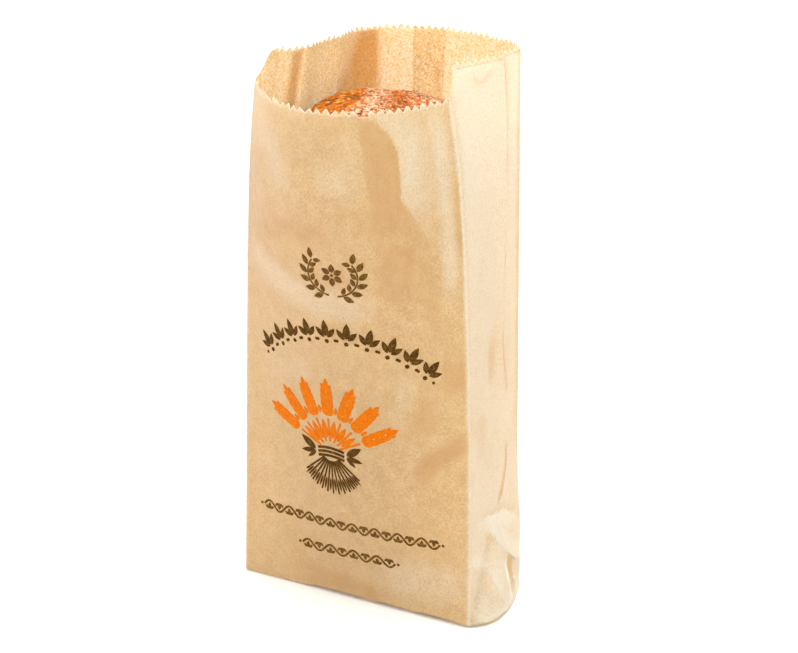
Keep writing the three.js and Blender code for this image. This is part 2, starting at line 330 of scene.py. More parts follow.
def rim_height(panel, u):
    if panel == FRONT:
        return np.full(len(u), FRONT_RIM)
    if panel == BACK:
        return np.full(len(u), FRONT_RIM + LIP)
    from_fold = (u if panel == RIGHT else 1 - u) * PANEL_WIDTHS[panel]
    return FRONT_RIM + LIP * ease(from_fold / LIP_RUN)


def tooth_root(panel, u):
    """Height of the line that the teeth stand on."""
    depth = np.full(len(u), TOOTH_DEPTH)
    if panel in (RIGHT, LEFT):
        from_fold = (u if panel == RIGHT else 1 - u) * PANEL_WIDTHS[panel]
        depth = np.where(from_fold < LIP_RUN, CLIMB_DEPTH, TOOTH_DEPTH)
    return rim_height(panel, u) - depth


def cut_edge(panel, u):
    """Height of the cut edge, and how far each tooth is bent out."""
    count = TEETH[panel]
    place = np.clip(u * count, 0, count - 1e-6)
    tooth = np.floor(place).astype(int)
    phase = place - tooth
    phase = phase + TOOTH_LEAN[panel][tooth] * np.sin(np.pi * phase)
    bump = 1 - np.abs(2 * np.clip(phase, 0, 1) - 1) ** TOOTH_POWER
    root = tooth_root(panel, u)
    tall = (rim_height(panel, u) - root) * TOOTH_SIZE[panel][tooth]
    z = root + tall * bump
    if panel == FRONT:
        tear = np.clip(1 - np.abs(u - TEAR_AT) / TEAR_HALF, 0, 1)
        z = z - (TEAR_DEPTH + TOOTH_DEPTH * 0.5) * tear
    return z, TOOTH_BEND[panel][tooth] * bump


# ----------------------------------------
# Kraft paper.
# Unbleached kraft, machine glazed on one side: a warm tan sheet about 0.1 mm thick, with
# cloudy fibres, fine darker specks, folds worn pale, and light coming through from behind.
# Painted highlight, glare and shade are mixed into its colour as well.

def colour(hex_code):
    """An sRGB hex colour as linear red, green, blue and alpha."""
    parts = [int(hex_code[i:i + 2], 16) / 255 for i in (0, 2, 4)]
    return [c / 12.92 if c <= 0.04045 else ((c + 0.055) / 1.055) ** 2.4 for c in parts] + [1.0]


def add(tree, kind, inputs=(), stops=None, out=0, **settings):
    """Adds a node and gives one of its outputs. The inputs go by name or number, or in order."""
    made = tree.nodes.new("ShaderNode" + kind)
    for name, value in settings.items():
        setattr(made, name, value)
    for name, value in inputs.items() if isinstance(inputs, dict) else enumerate(inputs):
        if isinstance(value, bpy.types.NodeSocket):
            tree.links.new(value, made.inputs[name])
        else:
            made.inputs[name].default_value = value
    if stops:
        handles = made.color_ramp.elements
        while len(handles) < len(stops):
            handles.new(0.5)
        for handle, (place, value) in zip(handles, stops):
            handle.position = place
            handle.color = value
    return made.outputs[out] if made.outputs else None


COLOURS = {"data_type": "RGBA", "out": 2}  # what a Mix of two colours needs


def new_material(name):
    made = bpy.data.materials.new(name)
    made.use_nodes = True
    made.node_tree.nodes.clear()
    return made, made.node_tree


def place_in_mm(tree):
    """Where a point lies on its piece, so that patterns are scaled in mm."""
    where = add(tree, "TexCoord", out="Object")
    return add(tree, "VectorMath", (where, (1000, 1000, 1000)), operation="MULTIPLY")


KRAFT_SHADES = ("CBA368", "D9B67E", "E5C894")  # dark, middle and light fibres
INSIDE_SHADED_COLOURS = ("B87A2E", "C88C3C", "D69E4C")  # browner than the outer face, as painted shade for the inside of the bag
KRAFT_WORN_AND_GLARE = "F1EAD4"  # rubbed fibres on folds and edges, and the painted highlight and glare
KRAFT_SPECK = "A87C4C"  # bits of bark
KRAFT_PAINTED_SHADE, THROUGH_PAINTED_SHADE = "C48C40", "D8982A"  # painted shade: the face, and the light through it
# Tint of the light that comes through the outer face, the inner face and the glued seam.
THROUGH_SHADES = ("F3E6D0", "FAF2E4", "FEFAF2")
INSIDE_THROUGH_SHADES = ("EAC67E", "F6E8C0", "FFFBEE")
GLUED_THROUGH_SHADES = ("E9DEC8", "F9F5EC", "FFFFFF")
CLOUD_MM = 7.0  # fibre clouds
PULP_MM = 0.9  # the finest mottling that shows, drawn a little coarser than it is
SPECK_GAP_MM = 5.5
LIT_CLOUD_MM = 1.1  # the mottling seen where light comes through


def kraft_material(name, let_through, shades, through_shades):
    """Kraft paper whose face lets through the given share of the light."""
    dark, mid, light = (colour(shade) for shade in shades)
    made, tree = new_material(name)
    in_mm = place_in_mm(tree)
    fibre_way = add(tree, "VectorMath", (in_mm, (1, 1, 0.8)), operation="MULTIPLY")
    clouds = add(tree, "TexNoise", {
        "Vector": in_mm, "Scale": 1 / CLOUD_MM, "Detail": 3.0, "Roughness": 0.55})
    pulp = add(tree, "TexNoise", {"Vector": fibre_way, "Scale": 1 / PULP_MM, "Roughness": 0.6})
    mottle = add(tree, "Math", (clouds, 0.3), operation="MULTIPLY")
    mottle = add(tree, "Math", (pulp, 0.7, mottle), operation="MULTIPLY_ADD")
    body_colour = add(tree, "ValToRGB", {"Fac": mottle}, stops=[(0.4, dark), (0.5, mid), (0.6, light)])
    speck_field = add(tree, "TexVoronoi", {"Vector": fibre_way, "Scale": 1 / SPECK_GAP_MM})
    speck = add(tree, "MapRange", {
        "Value": speck_field, "From Min": 0.05, "From Max": 0.12, "To Min": 0.45, "To Max": 0.0})
    speckled = add(tree, "Mix", {0: speck, 6: body_colour, 7: colour(KRAFT_SPECK)}, **COLOURS)
    # The attribute holds real wear and painted light: above 0 the paper is paler (rubbed folds and
    # edges, painted highlight and glare), below 0 it is painted shade.
    worn = add(tree, "Attribute", attribute_name="worn", out="Fac")
    fibre_patchiness = add(tree, "Math", (pulp, 1.6, 0.2), operation="MULTIPLY_ADD")
    scuffed_and_highlit = add(tree, "Math", (worn, fibre_patchiness), operation="MULTIPLY", use_clamp=True)
    # Painted shade: the face is browned where the attribute is below 0.
    painted_shade = add(tree, "Math", (fibre_patchiness, worn), operation="MULTIPLY")
    painted_shade = add(tree, "Math", (painted_shade, -0.85), operation="MULTIPLY", use_clamp=True)
    with_painted_shade = add(tree, "Mix", {0: painted_shade, 6: speckled, 7: colour(KRAFT_PAINTED_SHADE)}, **COLOURS)
    face_colour = add(tree, "Mix", {0: scuffed_and_highlit, 6: with_painted_shade, 7: colour(KRAFT_WORN_AND_GLARE)}, **COLOURS)
    fibre_bump = add(tree, "Bump", {"Height": pulp, "Strength": 0.35, "Distance": 0.0002})
    cloud_bump = add(tree, "Bump", {
        "Height": clouds, "Strength": 0.5, "Distance": 0.0006, "Normal": fibre_bump})
    face = add(tree, "BsdfPrincipled", {
        "Base Color": face_colour, "Roughness": 0.46, "Sheen Weight": 0.35, "Sheen Roughness": 0.6,
        "Normal": cloud_bump})
    through_mottle = add(tree, "TexNoise", {
        "Vector": in_mm, "Scale": 1 / LIT_CLOUD_MM, "Detail": 3.0, "Roughness": 0.65})
    through_colour = add(tree, "ValToRGB", {"Fac": through_mottle}, stops=[
        (place, colour(shade)) for place, shade in zip((0.3, 0.5, 0.65), through_shades)])
    # The painted shade also browns the light that comes through.
    through_colour = add(tree, "Mix", {
        0: painted_shade, 6: through_colour, 7: colour(THROUGH_PAINTED_SHADE)}, **COLOURS)
    through = add(tree, "BsdfTranslucent", {"Color": through_colour})
    both = add(tree, "MixShader", (let_through, face, through))
    add(tree, "OutputMaterial", {"Surface": both})
    return made


# The sheet has two faces here, so most of what the glazed outer face lets in has to pass
# the rough inner one as well.
kraft = kraft_material("kraft_paper", 0.38, KRAFT_SHADES, THROUGH_SHADES)
kraft_inside = kraft_material("kraft_paper_inside", 0.8, INSIDE_SHADED_COLOURS, INSIDE_THROUGH_SHADES)
kraft_glued = kraft_material("kraft_paper_glued", 0.93, KRAFT_SHADES, GLUED_THROUGH_SHADES)

# ----------------------------------------
# The bag.
# The four panels as one thin closed shell: an outer face, an inner face, the toothed edge
# between them, and a floor that the walls turn under to meet.

PAPER_THICK = 0.3
COLUMNS_PER_TOOTH = (4, 4, 2, 3)
RIM_SPLIT = (3, 3, 4, 4)  # each column is split into this many along the teeth
FIRST_ROW, LAST_ROW = 2.2, 300.0
ROW_RUNS = ((3.4, 66.0, 1.6), (66.0, 232.0, 2.5), (232.0, 300.0, 1.8))  # from, to, pitch
ROOT_GAP, TEAR_GAP = 0.8, 0.4  # the last full row runs this far under the teeth and the tear
TEETH_ROWS = ((0.12, 0.1), (0.55, 0.45), (1.0, 1.0))  # share of the teeth's height, wear
FLOOR_HEIGHT = 0.35
INNER_FLOOR = FLOOR_HEIGHT + PAPER_THICK
OUTER_TURN = ((0.1, 1.4), (0.4, 0.75), (0.9, 0.33), (1.6, 0.07), (2.4, 0.0), (3.0, FLOOR_HEIGHT))
INNER_TURN = ((0.25, 1.2), (1.0, INNER_FLOOR), (2.0, INNER_FLOOR))  # way in and height

FOLD_WEAR_MM = 1.3
FOLD_WEAR = (0.4, 0.9, 0.4, 0.3)  # by corner, front left first
# Painted glare: the gussets are painted paler than the flat panels, most of all near the mouth.
PANEL_PAINTED_GLARE = (0.0, 1.0, 0.0, 0.3)
GLARE_HEIGHTS = (0.0, 60.0, 160.0, 235.0, 300.0)
GLARE_AMOUNTS = (0.66, 0.58, 0.48, 0.66, 0.95)
GLARE_FROM_FOLD = 4.0
INSIDE_WEAR_AND_GLARE = 0.15  # the inside is rubbed less and gets less of the painted glare
# How the painted light and shade fade at their edges, and the darkest painted shade.
PAINTED_LIGHT_EDGE, DARKEST_PAINTED_SHADE = 1.5, 0.85

# The fold under the front panel stands off the table, except near the left corner.
FOLD_GAP, GAP_WAVE = 1.2, 9.0
GAP_DEEP = 9.0  # the gap closes this far in
GAP_START, GAP_RUN = 30.0, 30.0  # it opens this far from the corner, over this length
GAP_FRONT, GAP_FADE = 12.0, 4.0
BASE_LEFT = -74.0 - OUTLINE_MIDDLE[0]

columns = [(panel, i / (count * per), 1 / (count * per))
           for panel, (count, per) in enumerate(zip(TEETH, COLUMNS_PER_TOOTH))
           for i in range(count * per)]
rim_columns = [(panel, u + k * step / RIM_SPLIT[panel], k == 0)
               for panel, u, step in columns for k in range(RIM_SPLIT[panel])]
row_heights = [FIRST_ROW]
for low, high, pitch in ROW_RUNS:
    row_heights += list(np.linspace(low, high, int((high - low) / pitch), endpoint=False))
row_heights.append(LAST_ROW)


def ring(heights, columns_used, bend=None):
    """One row of places round the bag. heights and bend take a panel and a share of it."""
    rows = []
    for panel in range(4):
        u = np.array([c[1] for c in columns_used if c[0] == panel])
        rows.append(paper(panel, u, heights(panel, u), bend(panel, u) if bend else 0.0))
    return np.concatenate(rows)


def share_height(share):
    return lambda panel, u: (
        share * (tooth_root(panel, u) - ROOT_GAP) / (FRONT_RIM - TOOTH_DEPTH - ROOT_GAP))


def teeth_height(share):
    """Heights between the line under the teeth and the cut edge."""
    def heights(panel, u):
        low, high = tooth_root(panel, u) - ROOT_GAP, cut_edge(panel, u)[0]
        if panel == FRONT:
            low = np.minimum(low, high - TEAR_GAP)
        return low + (high - low) * share
    return heights


def teeth_bend(share):
    return lambda panel, u: cut_edge(panel, u)[1] * share


def placed(name, data):
    made = bpy.data.objects.new(name, data)
    bpy.context.scene.collection.objects.link(made)
    return made


class Mesh:
    """Collects the places, faces, wear and painted light of one piece, in mm."""

    def __init__(self):
        self.places, self.faces, self.wear_and_light = [], [], []
        self.count = 0

    def loop(self, places, wear_and_light=0.0):
        start = self.count
        self.places.append(np.asarray(places, float))
        self.count += len(places)
        self.wear_and_light.append(np.broadcast_to(np.asarray(wear_and_light, float), (len(places),)))
        return list(range(start, self.count))

    def add_faces(self, faces, flip=False):
        self.faces += [face[::-1] if flip else face for face in faces]

    def band(self, low, high, flip=False, closed=True):
        """A strip of faces between two loops."""
        n = len(low)
        self.add_faces([(low[i], low[(i + 1) % n], high[(i + 1) % n], high[i])
                        for i in range(n if closed else n - 1)], flip)

    def sheet(self, below, above, flip):
        """A thin closed sheet between two stacks of open loops."""
        for rows, turn in ((below, flip), (above, not flip)):
            for low, high in zip(rows, rows[1:]):
                self.band(low, high, turn, closed=False)
        for end, turn in ((0, not flip), (-1, flip)):
            self.band(below[end], above[end], turn, closed=False)
        for end, turn in ((0, flip), (-1, not flip)):
            self.band([r[end] for r in below], [r[end] for r in above], turn, closed=False)

    def build(self, name, material, smooth=True):
        data = bpy.data.meshes.new(name)
        data.from_pydata((np.concatenate(self.places) * 0.001).tolist(), [], self.faces)
        wear_and_light_layer = data.attributes.new("worn", "FLOAT", "POINT")
        wear_and_light_layer.data.foreach_set("value", np.concatenate(self.wear_and_light).astype(np.float32))
        data.polygons.foreach_set("use_smooth", [smooth] * len(data.polygons))
        data.materials.append(material)
        data.update()
        return placed(name, data)


def row_wear_and_light(heights, seen, wear_and_glare_share):
    """Wear and painted light of one row: real wear most on the corner folds, fading within a few mm,
    and painted glare on the gussets.

    The painted highlight and shade count on the face where they are seen: outside or inside.
    """
    wear_and_light = []
    for panel in range(4):
        on_panel = [i for i, c in enumerate(columns) if c[0] == panel]
        s = np.array([columns[i][1] for i in on_panel]) * PANEL_WIDTHS[panel]
        to_next = PANEL_WIDTHS[panel] - s
        z = heights[on_panel]
        wear_and_glare = FOLD_WEAR[panel] * np.exp(-(s / FOLD_WEAR_MM) ** 2)
        wear_and_glare += FOLD_WEAR[(panel + 1) % 4] * np.exp(-(to_next / FOLD_WEAR_MM) ** 2)
        height_glare = np.interp(z, GLARE_HEIGHTS, GLARE_AMOUNTS)
        away = np.minimum(1, np.minimum(s, to_next) / GLARE_FROM_FOLD)
        # painted glare on the gussets
        wear_and_glare += PANEL_PAINTED_GLARE[panel] * height_glare * away
        # painted highlight and shade along the creases
        painted_light = spread(PAINTED_LIGHT_AND_SHADE, panel, s, z, PAINTED_LIGHT_EDGE) if panel in seen else 0
        wear_and_light.append(wear_and_glare * wear_and_glare_share + np.clip(painted_light, -DARKEST_PAINTED_SHADE, 1))
    return np.concatenate(wear_and_light)


def inset(places, distance):
    """A ring moved toward the middle of the bag in plan."""
    ahead, behind = np.roll(places, -1, 0) - places, places - np.roll(places, 1, 0)
    along = ahead[:, :2] / np.linalg.norm(ahead[:, :2], axis=1)[:, None] \
        + behind[:, :2] / np.linalg.norm(behind[:, :2], axis=1)[:, None]
    along /= np.linalg.norm(along, axis=1)[:, None]
    moved = places.copy()
    moved[:, 0] -= along[:, 1] * distance
    moved[:, 1] += along[:, 0] * distance
    return moved


shell = Mesh()
outer_rows = [ring(share_height(z), columns) for z in row_heights]
outer_rows.append(ring(teeth_height(0.0), columns))
rim_rows = [ring(teeth_height(t), rim_columns, teeth_bend(t * t)) for t, _ in TEETH_ROWS]


def add_face(distance, flip, seen, wear_and_glare_share):
    """One face of the paper, moved in by a distance, with the painted light and shade of the panels
    seen.
    """
    body, rim = ([inset(r, distance) if distance else r for r in rows]
                 for rows in (outer_rows, rim_rows))
    loops = [shell.loop(r, row_wear_and_light(r[:, 2], seen, wear_and_glare_share)) for r in body]
    for low, high in zip(loops, loops[1:]):
        shell.band(low, high, flip)
    rim_loops = [shell.loop(r, wear_and_light) for r, (_, wear_and_light) in zip(rim, TEETH_ROWS)]
    top, first = loops[-1], rim_loops[0]
    starts = [i for i, c in enumerate(rim_columns) if c[2]] + [len(rim_columns)]
    for i, low in enumerate(top):
        span = first[starts[i]:starts[i + 1]] + [first[starts[i + 1] % len(first)]]
        next_low = top[(i + 1) % len(top)]
        half = len(span) // 2
        fan = [(low if k < half else next_low, span[k + 1], span[k]) for k in range(len(span) - 1)]
        shell.add_faces(fan + [(low, next_low, span[half])], flip)
    for low, high in zip(rim_loops, rim_loops[1:]):
        shell.band(low, high, flip)
    return loops[0], rim_loops[-1], body[0]


def fold_gap(places):
    """How far the fold under the front panel stands off the table, in mm."""
    from_left = np.clip((places[:, 0] - BASE_LEFT - GAP_START) / GAP_RUN, 0, 1)
    in_front = np.clip((-places[:, 1] - GAP_FRONT) / GAP_FADE, 0, 1)
    uneven = np.array([noise.noise(Vector((x / GAP_WAVE, 0.5, 0.5))) for x in places[:, 0]])
    return (FOLD_GAP + FOLD_GAP * uneven) * from_left * in_front


def close_floor(loop, places, height, flip, turn):
    """Turns the wall under and closes the floor with rings and a middle."""
    rows = []
    for distance, z in turn:
        moved = inset(places, distance)
        moved[:, 2] = z + fold_gap(moved) * max(0, 1 - distance / GAP_DEEP)
        rows.append(moved)
    middle = places[:, :2].mean(0)
    for share in (0.6, 0.25):
        moved = inset(places, turn[-1][0])
        moved[:, :2] = middle + (moved[:, :2] - middle) * share
        moved[:, 2] = height
        rows.append(moved)
    for moved in rows:
        inner_loop = shell.loop(moved)
        shell.band(loop, inner_loop, not flip)
        loop = inner_loop
    centre = shell.loop([[middle[0], middle[1], height]])[0]
    shell.add_faces([(a, loop[(i + 1) % len(loop)], centre) for i, a in enumerate(loop)], not flip)


outer_low, outer_edge, outer_places = add_face(0.0, False, (FRONT, RIGHT), 1.0)
first_inner_face = len(shell.faces)
inner_low, inner_edge, inner_places = add_face(PAPER_THICK, True, (BACK, LEFT), INSIDE_WEAR_AND_GLARE)
last_inner_face = len(shell.faces)
shell.band(outer_edge, inner_edge)
close_floor(outer_low, outer_places, FLOOR_HEIGHT, False, OUTER_TURN)
close_floor(inner_low, inner_places, INNER_FLOOR, True, INNER_TURN)
bag = shell.build("bag_paper", kraft)
bag.data.materials.append(kraft_inside)
for face in bag.data.polygons[first_inner_face:last_inner_face]:
    face.material_index = 1
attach(bag, "root")
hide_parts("bag")

# ----------------------------------------
# The glued seam.
# The sheet's side edge laps over the back panel by about 20 mm and is glued down from the
# base to the mouth. Less light comes through the double paper there.

SEAM_FROM, SEAM_TO = 69.5, 90.0  # across the back panel from its fold by the right gusset
SEAM_LIFT, SEAM_THICK = 0.04, 0.22
SEAM_STEP = PANEL_WIDTHS[BACK] / TEETH[BACK] / 8
seam = Mesh()
seam_u = np.arange(SEAM_FROM, SEAM_TO + 0.01, SEAM_STEP) / PANEL_WIDTHS[BACK]
seam_faces = []
for lift in (SEAM_LIFT, SEAM_LIFT + SEAM_THICK):
    loops = [seam.loop(paper(BACK, seam_u, share_height(z)(BACK, seam_u), lift))
             for z in row_heights]
    for t, wear_and_light in ((0.0, 0.0),) + TEETH_ROWS:
        bend = teeth_bend(t * t)(BACK, seam_u)
        z = teeth_height(t)(BACK, seam_u)
        loops.append(seam.loop(paper(BACK, seam_u, z, bend + lift), wear_and_light))
    seam_faces.append(loops)
seam.sheet(*seam_faces, True)
back_seam = seam.build("back_seam", kraft_glued)
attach(back_seam, "root")

# ----------------------------------------
# The folded base.
# The front and back walls fold under as two flaps with slanted ends, the back one glued
# over the front one. They close the base and lie flat on the table.

FLAP_THICK = 0.13
BASE_RIGHT = 76.6 - OUTLINE_MIDDLE[0]
BASE_FRONT, BASE_BACK = -32.0 - OUTLINE_MIDDLE[1], 32.0 - OUTLINE_MIDDLE[1]
FLAP_EDGE = 3.4  # the flaps start this far in, where the floor is level
FLAP_REACH = 40.0  # how far each flap runs across the base
FLAP_ROWS, FLAP_PLACES = 14, 40
FLAP_CLEAR = 0.8  # room at each end for the turn of the gusset
FLAP_RIPPLE = 0.03


def base_flap(name, from_y, toward, low):
    """One flap as a thin closed sheet, with its ends slanted at 45 degrees."""
    flap = Mesh()
    faces = []
    for z in (low, low + FLAP_THICK):
        loops = []
        for run in np.linspace(FLAP_EDGE, FLAP_REACH, FLAP_ROWS):
            x = np.linspace(BASE_LEFT + run + FLAP_CLEAR, BASE_RIGHT - run - FLAP_CLEAR, FLAP_PLACES)
            y = np.full(FLAP_PLACES, from_y + toward * run)
            lift = FLAP_RIPPLE * np.sin(x * 0.21 + y * 0.13)
            worn_edge = 0.6 if run > FLAP_REACH - 1 else 0.0
            loops.append(flap.loop(np.stack([x, y, z + FLAP_RIPPLE + lift], -1), worn_edge))
        faces.append(loops)
    flap.sheet(*faces, toward > 0)
    made = flap.build(name, kraft)
    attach(made, "root")


base_flap("base_flap_back", BASE_BACK, -1, 0.0)
base_flap("base_flap_front", BASE_FRONT, 1, FLAP_THICK + 0.04)

# ----------------------------------------
# The print.
# Two inks, brown and orange, put on from rubber plates before the sheet is folded: a
# laurel, an arched garland, a tied sheaf of wheat, and two running vines.
# The ink is a thin dry film that lies on the paper and follows every crease.

INK_LIFT, INK_THICK = 0.17, 0.12
INK_CELL, EDGE_CELL = 1.5, 1.1  # the film is cut this small, so that it bends with the paper
INK_FLECK = "C49A62"  # bare paper in the pinholes of the film


def ink_material(name, full, thin, flecks):
    """Water-based ink on rough paper: dull, uneven in depth, with pinholes."""
    made, tree = new_material(name)
    in_mm = place_in_mm(tree)
    depth = add(tree, "TexNoise", {"Vector": in_mm, "Scale": 1 / 1.6, "Roughness": 0.6})
    film = add(tree, "ValToRGB", {"Fac": depth}, stops=[(0.42, colour(full)), (0.66, colour(thin))])
    pinhole = add(tree, "TexNoise", {"Vector": in_mm, "Scale": 1 / 0.7, "Roughness": 0.6})
    holes = add(tree, "MapRange", {
        "Value": pinhole, "From Min": 0.58, "From Max": 0.68, "To Max": flecks})
    film_colour = add(tree, "Mix", {0: holes, 6: film, 7: colour(INK_FLECK)}, **COLOURS)
    rough = add(tree, "Bump", {"Height": pinhole, "Strength": 0.25, "Distance": 0.0001})
    face = add(tree, "BsdfPrincipled", {
        "Base Color": film_colour, "Roughness": 0.75, "IOR": 1.48, "Specular IOR Level": 0.06,
        "Normal": rough})
    add(tree, "OutputMaterial", {"Surface": face})
    return made


brown_ink = ink_material("brown_flexo_ink", "432A08", "664515", 0.25)
pale_brown_ink = ink_material("pale_brown_flexo_ink", "573A10", "7F5A28", 0.3)
orange_ink = ink_material("orange_flexo_ink", "D26400", "DA7606", 0.2)


def turned(points, origin, angle):
    """Points given as (along, to the left) of an axis at this angle, put in place."""
    c, s = math.cos(angle), math.sin(angle)
    return [(origin[0] + a * c - b * s, origin[1] + a * s + b * c) for a, b in points]


def leaf(base, angle, long, wide, gap=0.0):
    """A pointed leaf or grain that starts a gap away from base."""
    sides = [(gap + long * k / 8, wide / 2 * math.sin(math.pi * (k / 8) ** 0.85) ** 0.9)
             for k in range(1, 8)]
    outline = [(gap, 0)] + [(a, -b) for a, b in sides] + [(gap + long, 0)] + sides[::-1]
    return turned(outline, base, angle)


def dot(middle, radius):
    angles = [k * math.pi / 6 for k in range(12)]
    return [(middle[0] + radius * math.cos(a), middle[1] + radius * math.sin(a)) for a in angles]


def stroke(points, wide):
    """A line of even width along a path."""
    path = np.array(points, float)
    way = np.gradient(path, axis=0)
    way /= np.linalg.norm(way, axis=1)[:, None]
    aside = np.stack([-way[:, 1], way[:, 0]], -1) * wide / 2
    return [tuple(q) for q in path - aside] + [tuple(q) for q in (path + aside)[::-1]]


def inside(outline, points, margin):
    """Which points lie inside an outline, and further than the margin from it."""
    a = np.array(outline)
    b = np.roll(a, -1, 0)
    x, y = points[:, :1], points[:, 1:]
    edge = b - a
    rise = np.where(edge[:, 1] == 0, 1e-9, edge[:, 1])
    crosses = ((a[:, 1] > y) != (b[:, 1] > y)) & (
        x < edge[:, 0] * (y - a[:, 1]) / rise + a[:, 0])
    t = ((x - a[:, 0]) * edge[:, 0] + (y - a[:, 1]) * edge[:, 1]) / (edge ** 2).sum(1)
    t = np.clip(t, 0, 1)
    gap = np.hypot(x - a[:, 0] - t * edge[:, 0], y - a[:, 1] - t * edge[:, 1]).min(1)
    return (crosses.sum(1) % 2 == 1) & (gap > margin)


def printed(name, outlines, ink):
    """A film of ink with these outlines, given in mm across and up the front panel."""
    film = Mesh()
    for outline in outlines:
        edge = []
        for (ax, ay), (bx, by) in zip(outline, outline[1:] + outline[:1]):
            parts = max(1, math.ceil(math.hypot(bx - ax, by - ay) / EDGE_CELL))
            edge += [(ax + (bx - ax) * k / parts, ay + (by - ay) * k / parts) for k in range(parts)]
        low, high = np.min(edge, 0), np.max(edge, 0)
        grid = np.array([(x, y) for x in np.arange(low[0], high[0], INK_CELL)
                         for y in np.arange(low[1], high[1], INK_CELL)])
        places = [Vector(q) for q in edge] + [Vector(q) for q in grid[inside(edge, grid, 0.5)]]
        ties = [(i, (i + 1) % len(edge)) for i in range(len(edge))]
        flat, _, faces = delaunay_2d_cdt(places, ties, [], 0, 1e-5, False)[:3]
        flat = np.array([tuple(q) for q in flat])
        kept = inside(edge, np.array([flat[list(face)].mean(0) for face in faces]), 0.0)
        faces = [face for face, keep in zip(faces, kept) if keep]
        under, over = (
            film.loop(paper(FRONT, flat[:, 0] / PANEL_WIDTHS[FRONT], flat[:, 1], lift))
            for lift in (INK_LIFT - INK_THICK, INK_LIFT))
        used = {}
        for face in faces:
            (ax, ay), (bx, by), (cx, cy) = (flat[i] for i in face)
            if (bx - ax) * (cy - ay) < (by - ay) * (cx - ax):
                face = face[::-1]
            film.faces.append(tuple(over[i] for i in face))
            film.faces.append(tuple(under[i] for i in reversed(face)))
            for i, j in zip(face, list(face[1:]) + [face[0]]):
                used[(i, j)] = True
        for i, j in used:
            if (j, i) not in used:
                film.faces.append((under[i], under[j], over[j], over[i]))
    made = film.build(name, ink, smooth=False)
    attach(made, "root")


# The laurel: two leafy branches that meet below a small rosette.
LAUREL_MIDDLE, LAUREL_RADIUS, LAUREL_STRETCH = (75.0, 212.5), 12.5, 1.15


def on_laurel(angle):
    return (LAUREL_MIDDLE[0] + LAUREL_RADIUS * LAUREL_STRETCH * math.cos(angle),
            LAUREL_MIDDLE[1] + LAUREL_RADIUS * math.sin(angle))


laurel = []
for side in (-1, 1):
    arc = [math.radians(-90 + side * a) for a in range(10, 128, 9)]
    laurel.append(stroke([on_laurel(a) for a in arc], 0.9))
    for step in range(6):
        a = math.radians(-90 + side * (20 + 21 * step))
        forward = a + side * math.pi / 2
        laurel.append(leaf(on_laurel(a), forward - side * 0.75, 6.4, 3.3, 1.0))
        laurel.append(leaf(on_laurel(a), forward + side * 0.85, 4.8, 2.6, 1.0))
laurel += [leaf(LAUREL_MIDDLE, math.radians(90 + 60 * k), 5.2, 3.4, 1.5) for k in range(6)]
laurel.append(dot(LAUREL_MIDDLE, 0.9))
printed("printed_laurel", laurel, pale_brown_ink)

# The garland: ten sprigs of three grains, standing on an arch.
ARCH_MIDDLE, ARCH_RADIUS, ARCH_HALF = (74.5, 94.6), 83.4, 39.5
garland = []
for step in range(10):
    lean = math.radians(90 + ARCH_HALF * (1 - 2 * step / 9))
    middle = turned([(ARCH_RADIUS, 0)], ARCH_MIDDLE, lean)[0]
    foot = turned([(-5.0, 0)], middle, lean)[0]
    garland.append(leaf(foot, lean, 10.0, 4.2, 1.6))
    for side in (-1, 1):
        garland.append(leaf(foot, lean + side * 0.72, 7.6, 3.3, 1.4))
        garland.append(dot(turned([(-5.6, side * 5.4)], middle, lean)[0], 0.95))
    garland.append(dot(turned([(-6.4, 0)], middle, lean)[0], 1.3))
printed("printed_garland", garland, brown_ink)

# The sheaf: seven ears of paired grains on stalks that meet in a tie and spread below it.
TIE_MIDDLE, EAR_STEP = (65.0, 99.0), 21.0
EAR_FROM, EAR_ROWS, EAR_ROW = 23.0, 5, 3.9
GRAIN_LONG, GRAIN_WIDE = 7.0, 3.7
ears, straw = [], []
for number in range(-3, 4):
    lean = math.radians(90 - number * EAR_STEP)
    ears.append(stroke(turned([(a, 0) for a in (7, 12, 17, EAR_FROM - 1)], TIE_MIDDLE, lean), 1.3))
    for row in range(EAR_ROWS):
        size = 0.82 + 0.18 * math.sin(math.pi * (row + 1) / EAR_ROWS)
        foot = turned([(EAR_FROM + row * EAR_ROW, 0)], TIE_MIDDLE, lean)[0]
        for side in (-1, 1):
            ears.append(leaf(foot, lean + side * 0.5, GRAIN_LONG * size, GRAIN_WIDE * size, 0.75))
    tip = EAR_FROM + EAR_ROWS * EAR_ROW
    ears.append(leaf(TIE_MIDDLE, lean, 6.4, 3.2, tip - 1.2))
    if number < 3:
        between = lean - math.radians(EAR_STEP / 2)
        ears.append(leaf(TIE_MIDDLE, between, 12.5, 3.6, 9.0))
        ears.append(leaf(TIE_MIDDLE, between, 5.2, 2.0, 25.5))
for number in range(-6, 7):
    lean = math.radians(-90 + number * 8.2)
    reach = 27.5 - 0.12 * number ** 2
    straw.append(stroke(turned([(a, 0) for a in (6.0, 13.0, 20.0, reach)], TIE_MIDDLE, lean),
                        1.0 + 0.03 * abs(number)))
    if number < 6:
        straw.append(leaf(TIE_MIDDLE, lean + math.radians(4.1), 8.5, 1.4, 17.5))
TIE_HALF, TIE_ROWS = 8.6, (-2.6, 0.0, 2.6)
for row in TIE_ROWS:
    straw.append(stroke([(TIE_MIDDLE[0] + x, TIE_MIDDLE[1] + row - 0.018 * x * x)
                         for x in np.linspace(-TIE_HALF, TIE_HALF, 9)], 1.7))
for side in (-1, 1):
    knot = (TIE_MIDDLE[0] + side * (TIE_HALF + 0.6), TIE_MIDDLE[1] - 1.0)
    upright = math.radians(90)
    for turn, long, wide in ((-0.95, 12.0, 4.6), (-1.75, 10.0, 3.2), (-2.3, 7.5, 2.4)):
        straw.append(leaf(knot, upright + side * turn, long, wide, 1.2))
printed("printed_ears", ears, orange_ink)
printed("printed_straw", straw, brown_ink)

